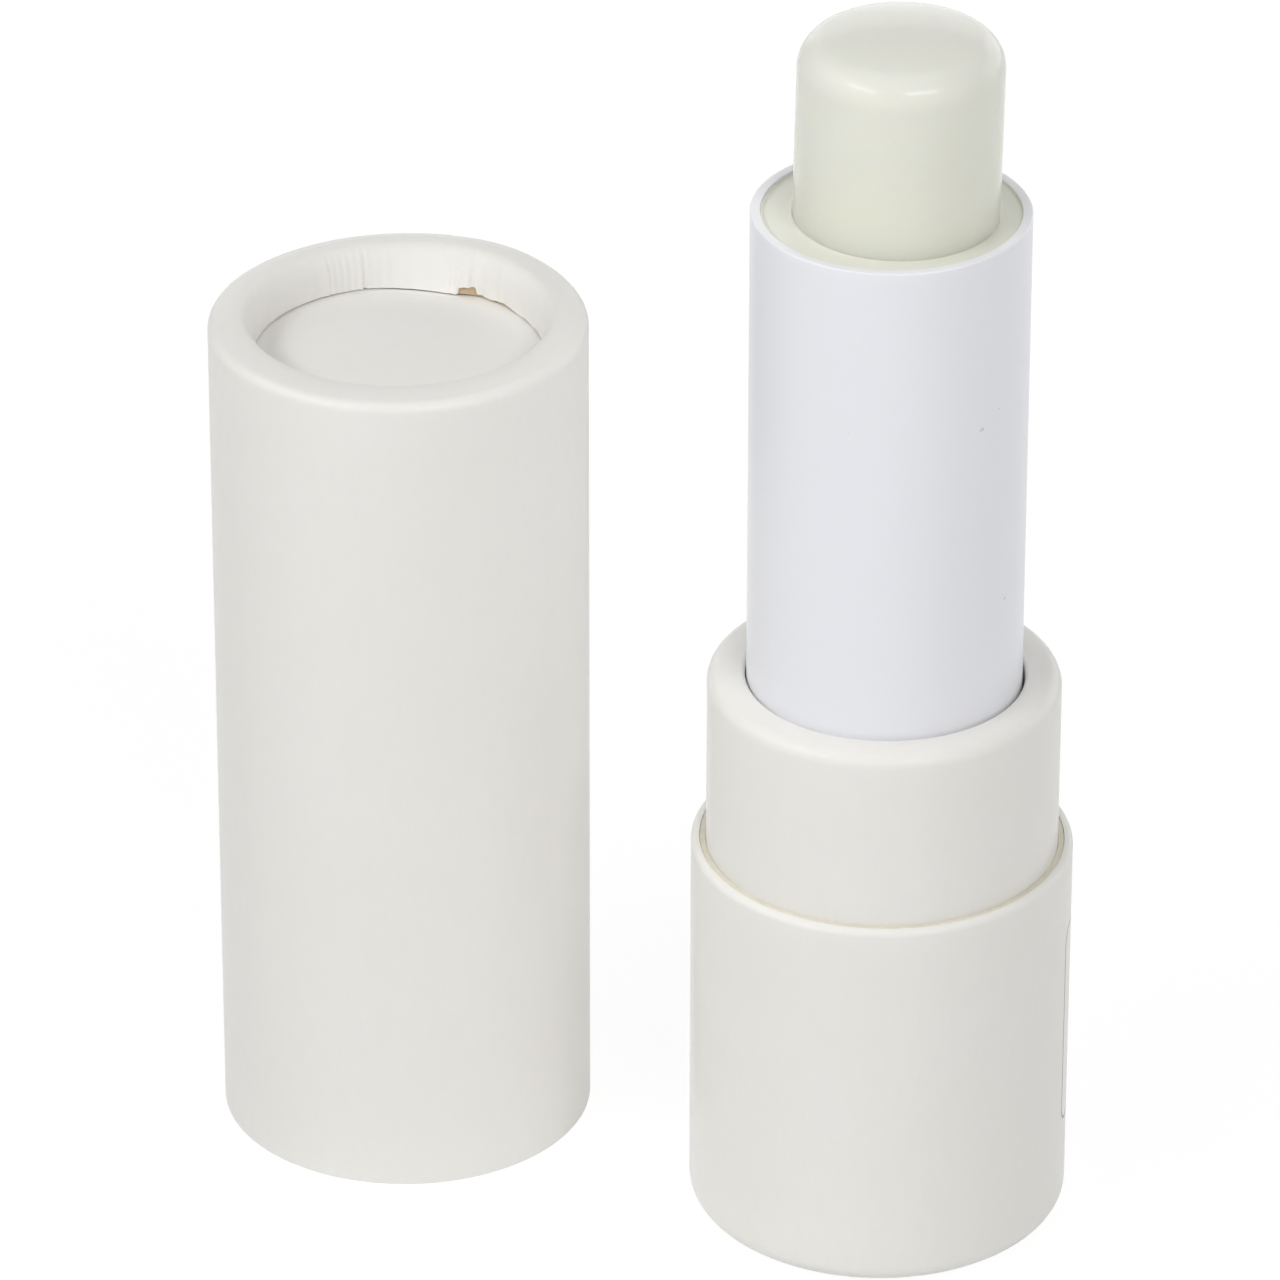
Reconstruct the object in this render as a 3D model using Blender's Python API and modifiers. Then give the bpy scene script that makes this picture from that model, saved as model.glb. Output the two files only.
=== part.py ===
"""A lip balm stick in rolled-edge paper tubes, with its cap standing beside it.

Written for Blender 4.5, in metres with +Z up. Both stand on the plane Z = 0, centred on the origin.
Sizes run from the outside in: each tube, sleeve and cup takes its radius from the one around it,
less a wall and a named clearance. Turning the barrel drives two pins of the balm cup along two
spiral slots in the sleeve, while two upright slots in the inner tube keep the cup from turning.
"""

import math

import bmesh
import bpy
from mathutils import Matrix, Vector

# Paper tubes
CAP_DIAMETER = 0.0203
CAP_HEIGHT = 0.0484
BASE_HEIGHT = 0.0222
NECK_RISE = 0.0102
BOARD = 0.0005
BASE_BOARD = 0.0006
WRAP = 0.00012
GLUE = 0.00002
CAP_SLIP = 0.00006
BASE_GLUE = 0.00006
DISC = 0.0008
DISC_FIT = 0.00003
SEAT = 0.00002

# Rolled edges of the paper tubes
CAP_CURL_WIDTH = 0.00245
BASE_CURL_WIDTH = 0.0022
CURL_DEPTH = 0.0024
CURL_SLANT = 0.00035
CAP_ROUND = 0.00065
NECK_ROUND = 0.0008
BASE_ROUND = 0.0011
LIP_ROUND = 0.00045

# Where the cap stands, seen from the stick
CAP_LEFT = 0.02581
CAP_BACK = 0.0101

# Socket in the neck, and the barrel that turns in it
SOCKET_FIT = 0.00005
SOCKET_WALL = 0.00134
SOCKET_FLOOR = 0.0012
CRUSH_RIB = 0.0002
CRUSH_RIB_WIDTH = 0.0008
BARREL_RUN = 0.0001
BARREL_WALL = 0.00049
BARREL_ROUND = 0.0002
NECK_GAP = 0.00012
HEADROOM = 0.0078

# Spiral sleeve
SLEEVE_PRESS = 0.00003
SLEEVE_WALL = 0.00048
RING_DROP = 0.00025
RING_THICK = 0.0008
RING_GAP = 0.00026
LEAD = 0.0110
SKIRT = 0.0075

# Slotted tube
TUBE_RUN = 0.00005
TUBE_WALL = 0.0004
TUBE_END_GAP = 0.0001
FOOT_FIT = 0.00005
FOOT_CHAMFER = 0.0002
BEAD = 0.0002
BEAD_GAP = 0.00006
BEAD_HALF = 0.00025
BEAD_HEIGHT = 0.0020
KEY_WIDTH = 0.0020
KEY_HEIGHT = 0.0015
KEY_GAP = 0.00005

# Soft ring
RING_CORD = 0.0008
RING_CORD_FIT = 0.00003

# Balm cup
CUP_RUN = 0.0001
CUP_WALL = 0.0005
CUP_HEIGHT = 0.0075
CUP_FLOOR = 0.0008
CUP_TOP_GAP = 0.0002
PIN_DIAMETER = 0.0011
PIN_HEIGHT = 0.0014
PIN_TIP_GAP = 0.00008
SLOT_GAP = 0.00008
GRIP_RIB = 0.00025
GRIP_RIB_WIDTH = 0.0006
GRIP_RIB_LENGTH = 0.0042
GRIP_RIB_GAP = 0.00004

# Balm
BALM_FIT = 0.00005
BALM_STEP = 0.00016
BALM_STEP_GAP = 0.00005
BALM_LENGTH = 0.0340
BALM_SHOWN = 0.01044
BALM_SUNK = 0.0010
BALM_SHOULDER = 0.0018
DOME_ANGLE = math.radians(75)

# Counts, and how far a cutter runs past what it cuts
ROUND_STEPS = 44
HIDDEN_STEPS = 32
RIM_STEPS = 3
LIP_STEPS = 2
DOME_STEPS = 4
SPIRAL_STEPS_PER_TURN = 16
PIN_SIDES = 16
RING_SIDES = 8
CRUSH_RIBS = 8
GRIP_RIBS = 6
STARTS = 2
OVERRUN = 0.0004
MERGE = 1e-7
ROUND_END_SHARE = 0.98
SLOT_END_SEGMENTS = 4

# Radii, from the outside in
WALL = BOARD + GLUE + WRAP
BASE_WALL = BASE_BOARD + GLUE + WRAP
CAP_RADIUS = CAP_DIAMETER / 2
NECK_RADIUS = CAP_RADIUS - WALL - CAP_SLIP
NECK_BORE = NECK_RADIUS - WALL
BASE_BORE = NECK_RADIUS + BASE_GLUE
BASE_RADIUS = BASE_BORE + BASE_WALL
SOCKET_RADIUS = NECK_BORE - SOCKET_FIT
SOCKET_BORE = SOCKET_RADIUS - SOCKET_WALL
BARREL_RADIUS = SOCKET_BORE - BARREL_RUN
BARREL_BORE = BARREL_RADIUS - BARREL_WALL
SLEEVE_RADIUS = BARREL_BORE - SLEEVE_PRESS
SLEEVE_BORE = SLEEVE_RADIUS - SLEEVE_WALL
TUBE_RADIUS = SLEEVE_BORE - TUBE_RUN
TUBE_BORE = TUBE_RADIUS - TUBE_WALL
CUP_RADIUS = TUBE_BORE - CUP_RUN
CUP_BORE = CUP_RADIUS - CUP_WALL
SEAT_RADIUS = CUP_BORE - BALM_FIT
BALM_RADIUS = SEAT_RADIUS + BALM_STEP
RING_HOLE = BALM_RADIUS + RING_GAP
FOOT_RADIUS = SOCKET_BORE - FOOT_FIT
PIN_RADIUS = PIN_DIAMETER / 2
PIN_REACH = SLEEVE_RADIUS - PIN_TIP_GAP
SLOT_WIDTH = PIN_DIAMETER + 2 * SLOT_GAP

# Heights, from the floor up
NECK_TOP = BASE_HEIGHT + NECK_RISE
BASE_DISC_LOW = CURL_DEPTH + SEAT
NECK_LOW = BASE_DISC_LOW + DISC + SEAT
SOCKET_TOP = NECK_TOP - CURL_DEPTH - SEAT
FOOT_LOW = NECK_LOW + SOCKET_FLOOR + SEAT
CAP_DISC_LOW = CAP_HEIGHT - CURL_DEPTH - SEAT - DISC
BARREL_TOP = BASE_HEIGHT + CAP_DISC_LOW - HEADROOM
RING_TOP = BARREL_TOP - RING_DROP
RING_LOW = RING_TOP - RING_THICK
TUBE_TOP = RING_LOW - TUBE_END_GAP
BALM_TOP = BARREL_TOP + BALM_SHOWN
BALM_LOW = BALM_TOP - BALM_LENGTH
CUP_LOW = BALM_LOW - SEAT - CUP_FLOOR
CUP_TOP = CUP_LOW + CUP_HEIGHT
PIN_Z = CUP_LOW + PIN_HEIGHT
TRAVEL_UP = RING_LOW - CUP_TOP_GAP - CUP_TOP
TRAVEL_DOWN = BALM_SHOWN + BALM_SUNK
SLEEVE_LOW = PIN_Z - TRAVEL_DOWN - SKIRT
FOOT_TOP = SLEEVE_LOW - RING_CORD - 2 * SEAT
BEAD_Z = SLEEVE_LOW + BEAD_HEIGHT

# The pair stands centred on the origin
STICK_X = (CAP_LEFT + CAP_RADIUS - BASE_RADIUS) / 2
STICK_Y = (BASE_RADIUS - CAP_BACK - CAP_RADIUS) / 2

COVER_WHITE = (0.76, 0.75, 0.71, 1)
BOARD_IVORY = (0.72, 0.66, 0.52, 1)
BOARD_TAN = (0.46, 0.34, 0.22, 1)
PLASTIC_WHITE = (0.78, 0.79, 0.84, 1)
PLASTIC_NATURAL = (0.70, 0.70, 0.62, 1)
BALM_GREEN = (0.72, 0.73, 0.60, 1)
RUBBER_GREY = (0.30, 0.30, 0.31, 1)


def clear_scene():
    """Empties the scene and gives it one collection for the parts and one for the cutters."""
    for old in list(bpy.data.objects):
        bpy.data.objects.remove(old, do_unlink=True)
    made = []
    for name in ("lip_balm_stick", "cutters"):
        collection = bpy.data.collections.new(name)
        bpy.context.scene.collection.children.link(collection)
        made.append(collection)
    return made


def material(name, colour, roughness):
    """A Principled material; nothing on the stick is metal."""
    made = bpy.data.materials.new(name)
    made.use_nodes = True
    shader = made.node_tree.nodes["Principled BSDF"]
    shader.inputs["Base Color"].default_value = colour
    shader.inputs["Roughness"].default_value = roughness
    shader.inputs["Metallic"].default_value = 0
    return made


def axis_empty(collection, name, x, y):
    """An empty on an upright axis, which carries the pieces turned about it."""
    empty = bpy.data.objects.new(name, None)
    empty.location = (x, y, 0)
    collection.objects.link(empty)
    return empty


def put(collection, parent, name, mesh, finish):
    """Links a mesh as one piece under its axis."""
    piece = bpy.data.objects.new(name, mesh)
    piece.parent = parent
    if finish:
        mesh.materials.append(finish)
    collection.objects.link(piece)
    return piece


def arc(centre_x, centre_z, radius, start, end, steps):
    """Points of a round stretch of a section, from one angle in degrees to another."""
    angles = [math.radians(start + (end - start) * i / steps) for i in range(steps + 1)]
    return [(centre_x + radius * math.cos(a), centre_z + radius * math.sin(a)) for a in angles]


def turned(collection, parent, name, section, finish, on_axis=False, steps=ROUND_STEPS):
    """A piece turned from its section, which runs down the outside first and up the inside."""
    count = len(section)
    edges = [(i, (i + 1) % count) for i in range(count - 1 if on_axis else count)]
    mesh = bpy.data.meshes.new(name)
    mesh.from_pydata([(x, 0, z) for x, z in section], edges, [])
    piece = put(collection, parent, name, mesh, finish)
    screw = piece.modifiers.new("turned", "SCREW")
    screw.axis = "Z"
    screw.steps = steps
    screw.render_steps = steps
    screw.use_merge_vertices = True
    screw.merge_threshold = MERGE
    screw.use_smooth_shade = True
    return piece


def joined(piece, tool, operation):
    """Cuts or joins a tool with a Boolean modifier."""
    boolean = piece.modifiers.new(tool.name, "BOOLEAN")
    boolean.operation = operation
    boolean.solver = "EXACT"
    boolean.object = tool
    return piece


def tool_from(collection, parent, name, shape):
    """Turns a bmesh into a hidden tool for a Boolean."""
    bmesh.ops.recalc_face_normals(shape, faces=shape.faces)
    mesh = bpy.data.meshes.new(name)
    shape.to_mesh(mesh)
    shape.free()
    tool = put(collection, parent, name, mesh, None)
    tool.hide_render = True
    tool.display_type = "WIRE"
    return tool


def block(shape, low, high, turn=0.0):
    """Adds a box between two corners, turned about the upright axis."""
    size = [b - a for a, b in zip(low, high)]
    centre = [(a + b) / 2 for a, b in zip(low, high)]
    place = Matrix.Rotation(turn, 4, "Z") @ Matrix.Translation(centre) @ Matrix.Diagonal((*size, 1))
    bmesh.ops.create_cube(shape, size=1, matrix=place)


def spaced_blocks(collection, parent, name, count, low, high):
    """A tool of like boxes, spaced evenly round the axis."""
    shape = bmesh.new()
    for i in range(count):
        block(shape, low, high, turn=math.tau * i / count)
    return tool_from(collection, parent, name, shape)


def rolled_skin(outer, hole, lip, top, low, lip_low, inset, outer_round, lip_round):
    """The line of a rolled-in tube wall, from the lip, over the rim and down the outside.

    It follows the outermost surface at a depth of inset. The lip is the lower end of the turned-in
    wall, which may stand further in than the hole that the rim leaves.
    """
    up = [(lip + inset, lip_low)]
    over = arc(hole + lip_round, top - lip_round, lip_round - inset, 180, 90, LIP_STEPS)
    down = arc(outer - outer_round, top - outer_round, outer_round - inset, 90, 0, RIM_STEPS)
    return up + over + down + [(outer - inset, low)]


def board_inside(wall, outer, hole, lip, top, low, lip_low):
    """The inner line of the wall, back from the tube's low end to the lip, creased square."""
    return [
        (outer - wall, low),
        (outer - wall, top - wall),
        (hole + wall, top - wall),
        (lip + wall, lip_low),
    ]


def upside_down(section):
    """A section mirrored top to bottom, still running down its outside."""
    return [(x, -z) for x, z in reversed(section)]


def paper_tube(parts, parent, name, wrap_finish, board_finish, size, flip=False):
    """A wound board tube with one rolled edge, and the cover paper that is rolled in with it."""
    wrap_rounds = (size["outer_round"], size["lip_round"])
    line = {key: size[key] for key in ("outer", "hole", "lip", "top", "low", "lip_low")}
    wrap = rolled_skin(**line, inset=0, outer_round=wrap_rounds[0], lip_round=wrap_rounds[1])
    back = rolled_skin(**line, inset=WRAP, outer_round=wrap_rounds[0], lip_round=wrap_rounds[1])
    front = rolled_skin(**line, inset=WRAP + GLUE, outer_round=wrap_rounds[0], lip_round=wrap_rounds[1])
    sections = {
        f"{name}_wrap": (wrap + back[::-1], wrap_finish),
        f"{name}_tube": (front + board_inside(size["wall"], **line), board_finish),
    }
    for piece, (section, finish) in sections.items():
        turned(parts, parent, piece, upside_down(section) if flip else section, finish)


def board_disc(parts, parent, name, radius, low, finish):
    """A flat board disc that closes a tube behind its rolled edge."""
    section = [(0, low + DISC), (radius, low + DISC), (radius, low), (0, low)]
    return turned(parts, parent, name, section, finish, on_axis=True)


def cap(parts, parent, wrap_finish, board_finish):
    """The cap: rolled in at the top over a disc, cut square at the mouth."""
    hole = CAP_RADIUS - CAP_CURL_WIDTH
    size = {
        "wall": WALL,
        "outer": CAP_RADIUS,
        "hole": hole,
        "lip": hole - CURL_SLANT,
        "top": CAP_HEIGHT,
        "low": 0,
        "lip_low": CAP_HEIGHT - CURL_DEPTH,
        "outer_round": CAP_ROUND,
        "lip_round": LIP_ROUND,
    }
    paper_tube(parts, parent, "cap", wrap_finish, board_finish, size)
    board_disc(parts, parent, "cap_disc", CAP_RADIUS - WALL - DISC_FIT, CAP_DISC_LOW, wrap_finish)


def base(parts, parent, wrap_finish, board_finish):
    """The base: rolled in at the bottom under a disc, cut square at the top round the neck."""
    hole = BASE_RADIUS - BASE_CURL_WIDTH
    size = {
        "wall": BASE_WALL,
        "outer": BASE_RADIUS,
        "hole": hole,
        "lip": hole - CURL_SLANT,
        "top": 0,
        "low": -BASE_HEIGHT,
        "lip_low": -CURL_DEPTH,
        "outer_round": BASE_ROUND,
        "lip_round": LIP_ROUND,
    }
    paper_tube(parts, parent, "base", wrap_finish, board_finish, size, flip=True)
    board_disc(parts, parent, "base_disc", BASE_BORE - DISC_FIT, BASE_DISC_LOW, wrap_finish)


def neck(parts, parent, wrap_finish, board_finish):
    """The neck: glued into the base and rolled in at the top until it nearly meets the barrel."""
    hole = BARREL_RADIUS + NECK_GAP
    size = {
        "wall": WALL,
        "outer": NECK_RADIUS,
        "hole": hole,
        "lip": hole,
        "top": NECK_TOP,
        "low": NECK_LOW,
        "lip_low": NECK_TOP - CURL_DEPTH,
        "outer_round": NECK_ROUND,
        "lip_round": LIP_ROUND,
    }
    paper_tube(parts, parent, "neck", wrap_finish, board_finish, size)


def mechanism_socket(parts, tools, parent, finish):
    """A plastic cup in the neck, with crush ribs outside and two keys for the foot on its floor."""
    body = SOCKET_RADIUS - CRUSH_RIB
    floor = NECK_LOW + SOCKET_FLOOR
    section = [
        (0, floor),
        (SOCKET_BORE, floor),
        (SOCKET_BORE, SOCKET_TOP),
        (body, SOCKET_TOP),
        (body, NECK_LOW),
        (0, NECK_LOW),
    ]
    socket = turned(parts, parent, "mechanism_socket", section, finish, True, HIDDEN_STEPS)
    half = CRUSH_RIB_WIDTH / 2
    ribs = spaced_blocks(
        tools,
        parent,
        "crush_ribs",
        CRUSH_RIBS,
        (SOCKET_BORE + SOCKET_WALL / 2, -half, NECK_LOW + CRUSH_RIB),
        (SOCKET_RADIUS * math.cos(math.pi / ROUND_STEPS), half, SOCKET_TOP - SOCKET_WALL),
    )
    keys = spaced_blocks(
        tools,
        parent,
        "floor_keys",
        STARTS,
        (TUBE_BORE + KEY_GAP, -KEY_WIDTH / 2, NECK_LOW + SOCKET_FLOOR / 2),
        (SOCKET_BORE + SOCKET_WALL / 2, KEY_WIDTH / 2, floor + KEY_HEIGHT),
    )
    joined(socket, ribs, "UNION")
    return joined(socket, keys, "UNION")


def is_level(edge):
    """Whether an edge lies along X."""
    first, second = (vertex.co for vertex in edge.verts)
    return abs(first.z - second.z) < MERGE and abs(first.y - second.y) < MERGE


def upright_slots(tools, parent):
    """A round-ended bar through the tube, which cuts both upright slots."""
    ends = PIN_RADIUS + SLOT_GAP
    reach = TUBE_RADIUS + OVERRUN
    shape = bmesh.new()
    low = (-reach, -SLOT_WIDTH / 2, PIN_Z - TRAVEL_DOWN - ends)
    high = (reach, SLOT_WIDTH / 2, PIN_Z + TRAVEL_UP + ends)
    block(shape, low, high)
    long_edges = [edge for edge in shape.edges if edge.calc_length() > reach and is_level(edge)]
    bmesh.ops.bevel(
        shape,
        geom=long_edges,
        offset=ends * ROUND_END_SHARE,
        segments=SLOT_END_SEGMENTS,
        profile=0.5,
        affect="EDGES",
    )
    return tool_from(tools, parent, "upright_slots", shape)


def slotted_tube(parts, tools, parent, finish):
    """The inner tube with its wide foot, snap bead, upright slots and key notches."""
    section = [
        (TUBE_BORE, TUBE_TOP),
        (TUBE_RADIUS, TUBE_TOP),
        (TUBE_RADIUS, BEAD_Z + BEAD_HALF),
        (TUBE_RADIUS + BEAD, BEAD_Z),
        (TUBE_RADIUS, BEAD_Z - BEAD_HALF),
        (TUBE_RADIUS, FOOT_TOP),
        (FOOT_RADIUS - FOOT_CHAMFER, FOOT_TOP),
        (FOOT_RADIUS, FOOT_TOP - FOOT_CHAMFER),
        (FOOT_RADIUS, FOOT_LOW),
        (TUBE_BORE, FOOT_LOW),
    ]
    tube = turned(parts, parent, "slotted_tube", section, finish, steps=HIDDEN_STEPS)
    half = KEY_WIDTH / 2 + KEY_GAP
    notches = spaced_blocks(
        tools,
        parent,
        "key_notches",
        STARTS,
        (TUBE_BORE - OVERRUN, -half, FOOT_LOW - OVERRUN),
        (FOOT_RADIUS + OVERRUN, half, FOOT_LOW + KEY_HEIGHT + KEY_GAP),
    )
    joined(tube, upright_slots(tools, parent), "DIFFERENCE")
    return joined(tube, notches, "DIFFERENCE")


def friction_ring(parts, parent, finish):
    """A soft ring round the slotted tube, between its foot and the turning barrel."""
    cord = RING_CORD / 2
    bpy.ops.mesh.primitive_torus_add(
        major_radius=TUBE_RADIUS + RING_CORD_FIT + cord,
        minor_radius=cord,
        major_segments=HIDDEN_STEPS,
        minor_segments=RING_SIDES,
        location=(0, 0, FOOT_TOP + SEAT + cord),
    )
    ring = bpy.context.object
    ring.name = "friction_ring"
    ring.parent = parent
    ring.data.materials.append(finish)
    ring.data.shade_smooth()
    for holder in list(ring.users_collection):
        holder.objects.unlink(ring)
    parts.objects.link(ring)
    return ring


def barrel_shell(parts, parent, finish):
    """The white outer sleeve of the barrel, with a softened top rim."""
    soft = BARREL_ROUND
    section = [
        (BARREL_BORE, BARREL_TOP - soft / 2),
        (BARREL_BORE + soft / 2, BARREL_TOP),
        *arc(BARREL_RADIUS - soft, BARREL_TOP - soft, soft, 90, 0, LIP_STEPS),
        (BARREL_RADIUS, SLEEVE_LOW),
        (BARREL_BORE, SLEEVE_LOW),
    ]
    return turned(parts, parent, "barrel_shell", section, finish)


def spiral_slot(tools, parent, start):
    """A ribbon swept along a right-handed helix, which cuts one spiral slot through the sleeve.

    At the pin's height at rest the ribbon stands at the angle start, and it rises LEAD a turn.
    """
    slope = LEAD / (math.tau * SLEEVE_BORE)
    half = SLOT_WIDTH / 2 * math.hypot(1, slope)
    spare = (PIN_RADIUS + SLOT_GAP) / SLEEVE_BORE
    first = -math.tau * TRAVEL_DOWN / LEAD - spare
    last = math.tau * TRAVEL_UP / LEAD + spare
    steps = math.ceil((last - first) / math.tau * SPIRAL_STEPS_PER_TURN)
    inner = SLEEVE_BORE - OVERRUN
    outer = SLEEVE_RADIUS + OVERRUN
    low = PIN_Z + first / math.tau * LEAD
    shape = bmesh.new()
    corners = [(inner, low - half), (outer, low - half), (outer, low + half), (inner, low + half)]
    turn = Matrix.Rotation(start + first, 4, "Z")
    ribbon = [shape.verts.new(turn @ Vector((x, 0, z))) for x, z in corners]
    face = shape.faces.new(ribbon)
    bmesh.ops.spin(
        shape,
        geom=[face, *face.edges, *face.verts],
        cent=(0, 0, 0),
        axis=(0, 0, 1),
        dvec=(0, 0, (last - first) / math.tau * LEAD / steps),
        angle=last - first,
        steps=steps,
    )
    return tool_from(tools, parent, f"spiral_slot_{math.degrees(start):.0f}", shape)


def spiral_sleeve(parts, tools, parent, finish):
    """The sleeve with the spiral slots: its flange shows as the ring round the balm."""
    edge = RING_GAP
    groove = BEAD + BEAD_GAP
    section = [
        (RING_HOLE, RING_TOP - edge),
        (RING_HOLE + edge, RING_TOP),
        (SLEEVE_RADIUS, RING_TOP),
        (SLEEVE_RADIUS, SLEEVE_LOW),
        (SLEEVE_BORE, SLEEVE_LOW),
        (SLEEVE_BORE, BEAD_Z - BEAD_HALF - BEAD_GAP),
        (SLEEVE_BORE + groove, BEAD_Z),
        (SLEEVE_BORE, BEAD_Z + BEAD_HALF + BEAD_GAP),
        (SLEEVE_BORE, RING_LOW),
        (RING_HOLE, RING_LOW),
    ]
    sleeve = turned(parts, parent, "spiral_sleeve", section, finish, steps=HIDDEN_STEPS)
    for i in range(STARTS):
        joined(sleeve, spiral_slot(tools, parent, math.tau * i / STARTS), "DIFFERENCE")
    return sleeve


def cup_pins(tools, parent):
    """The two round pins that stand out of the cup through both slots."""
    root = CUP_BORE + CUP_WALL / 2
    shape = bmesh.new()
    for i in range(STARTS):
        turn = Matrix.Rotation(math.tau * i / STARTS, 4, "Z")
        lie = Matrix.Translation(((root + PIN_REACH) / 2, 0, PIN_Z)) @ Matrix.Rotation(math.pi / 2, 4, "Y")
        bmesh.ops.create_cone(
            shape,
            cap_ends=True,
            segments=PIN_SIDES,
            radius1=PIN_RADIUS,
            radius2=PIN_RADIUS,
            depth=PIN_REACH - root,
            matrix=turn @ lie,
        )
    return tool_from(tools, parent, "cup_pins", shape)


def grip_ribs(tools, parent, name, grow):
    """The small upright ribs inside the cup that hold the balm, or their larger print in the balm."""
    half = GRIP_RIB_WIDTH / 2 + grow
    low = BALM_LOW - SEAT - CUP_FLOOR / 2
    top = BALM_LOW + GRIP_RIB_LENGTH + grow
    return spaced_blocks(
        tools,
        parent,
        name,
        GRIP_RIBS,
        (CUP_BORE - GRIP_RIB - grow, -half, low),
        (CUP_BORE + CUP_WALL / 2, half, top),
    )


def balm_cup(parts, tools, parent, finish):
    """The cup that carries the balm, with its pins and grip ribs."""
    section = [
        (0, CUP_LOW + CUP_FLOOR),
        (CUP_BORE, CUP_LOW + CUP_FLOOR),
        (CUP_BORE, CUP_TOP),
        (CUP_RADIUS, CUP_TOP),
        (CUP_RADIUS, CUP_LOW),
        (0, CUP_LOW),
    ]
    cup = turned(parts, parent, "balm_cup", section, finish, True, HIDDEN_STEPS)
    joined(cup, cup_pins(tools, parent), "UNION")
    return joined(cup, grip_ribs(tools, parent, "grip_ribs", 0), "UNION")


def balm_outline():
    """The balm from its crown down: a shallow dome, a round shoulder, a straight side and a seat.

    The shoulder's arc ends where it leans DOME_ANGLE from level, and the dome goes on from there as
    part of a ball centred on the axis, so that the two meet smoothly.
    """
    join_x = BALM_RADIUS - BALM_SHOULDER + BALM_SHOULDER * math.cos(DOME_ANGLE)
    ball = join_x / math.cos(DOME_ANGLE)
    shoulder_z = BALM_TOP - ball * (1 - math.sin(DOME_ANGLE)) - BALM_SHOULDER * math.sin(DOME_ANGLE)
    step_z = CUP_TOP + BALM_STEP_GAP
    angle = math.degrees(DOME_ANGLE)
    dome = arc(0, BALM_TOP - ball, ball, 90, angle, DOME_STEPS)[1:-1]
    return [
        (0, BALM_TOP),
        *dome,
        *arc(BALM_RADIUS - BALM_SHOULDER, shoulder_z, BALM_SHOULDER, angle, 0, DOME_STEPS),
        (BALM_RADIUS, step_z),
        (SEAT_RADIUS, step_z),
        (SEAT_RADIUS, BALM_LOW),
        (0, BALM_LOW),
    ]


def balm(parts, tools, parent, finish):
    """The moulded balm, cast round the grip ribs of its cup."""
    stick = turned(parts, parent, "balm", balm_outline(), finish, on_axis=True)
    return joined(stick, grip_ribs(tools, parent, "rib_prints", GRIP_RIB_GAP), "DIFFERENCE")


def main():
    parts, tools = clear_scene()
    cover = material("cover_paper", COVER_WHITE, 0.45)
    ivory = material("ivory_board", BOARD_IVORY, 0.8)
    tan = material("tan_board", BOARD_TAN, 0.85)
    white = material("white_plastic", PLASTIC_WHITE, 0.35)
    natural = material("natural_plastic", PLASTIC_NATURAL, 0.45)
    wax = material("balm", BALM_GREEN, 0.4)
    rubber = material("soft_rubber", RUBBER_GREY, 0.7)
    stick_axis = axis_empty(parts, "stick_axis", STICK_X, STICK_Y)
    cap_axis = axis_empty(parts, "cap_axis", STICK_X - CAP_LEFT, STICK_Y + CAP_BACK)
    cap(parts, cap_axis, cover, tan)
    base(parts, stick_axis, cover, ivory)
    neck(parts, stick_axis, cover, ivory)
    mechanism_socket(parts, tools, stick_axis, white)
    slotted_tube(parts, tools, stick_axis, natural)
    friction_ring(parts, stick_axis, rubber)
    barrel_shell(parts, stick_axis, white)
    spiral_sleeve(parts, tools, stick_axis, natural)
    balm_cup(parts, tools, stick_axis, natural)
    balm(parts, tools, stick_axis, wax)


main()
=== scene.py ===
# %% [markdown]
# # A lip balm stick in rolled paper tubes
#
# The real object is a twist-up lip balm. Its base and its narrower neck are wound from board and
# covered with white paper, a plastic barrel turns in the neck, and a pale green balm rises out of the
# barrel. The paper cap stands beside it. The solids that hold the sizes and the motion come first, as
# a fixed frame, and each step below gives one piece that shows a smooth surface and a finish.

import bmesh
import bpy
import numpy as np
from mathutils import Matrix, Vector


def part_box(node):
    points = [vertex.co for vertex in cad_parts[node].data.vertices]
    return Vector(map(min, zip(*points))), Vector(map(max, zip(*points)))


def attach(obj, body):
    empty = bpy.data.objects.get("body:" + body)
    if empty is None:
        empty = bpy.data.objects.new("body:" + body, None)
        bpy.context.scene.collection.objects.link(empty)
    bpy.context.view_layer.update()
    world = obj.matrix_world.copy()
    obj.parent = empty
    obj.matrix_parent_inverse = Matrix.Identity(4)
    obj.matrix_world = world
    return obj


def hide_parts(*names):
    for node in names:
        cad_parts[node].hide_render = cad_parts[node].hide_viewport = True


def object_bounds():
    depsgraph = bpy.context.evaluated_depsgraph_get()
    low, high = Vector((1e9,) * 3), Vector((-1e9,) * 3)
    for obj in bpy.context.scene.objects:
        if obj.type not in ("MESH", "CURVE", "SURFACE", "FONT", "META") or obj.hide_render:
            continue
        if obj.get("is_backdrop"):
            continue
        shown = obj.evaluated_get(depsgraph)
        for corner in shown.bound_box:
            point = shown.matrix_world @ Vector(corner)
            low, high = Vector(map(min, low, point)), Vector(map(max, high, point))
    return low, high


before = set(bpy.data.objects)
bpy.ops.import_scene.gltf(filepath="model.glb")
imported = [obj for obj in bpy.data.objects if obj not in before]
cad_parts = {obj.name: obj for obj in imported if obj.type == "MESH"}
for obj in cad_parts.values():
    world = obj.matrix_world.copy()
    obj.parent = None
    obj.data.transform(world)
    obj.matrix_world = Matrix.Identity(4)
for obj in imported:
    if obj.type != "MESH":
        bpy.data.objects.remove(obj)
cad_low, cad_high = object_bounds()

# %% [markdown]
# Every round solid stands upright, so its box says all that is needed of it: where its axis is, how
# wide it is and where it starts and ends. Reading these numbers, and not typing them, keeps each new
# surface on the solid that it stands for.

# %% Measure the round solids
MM = 0.001


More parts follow.
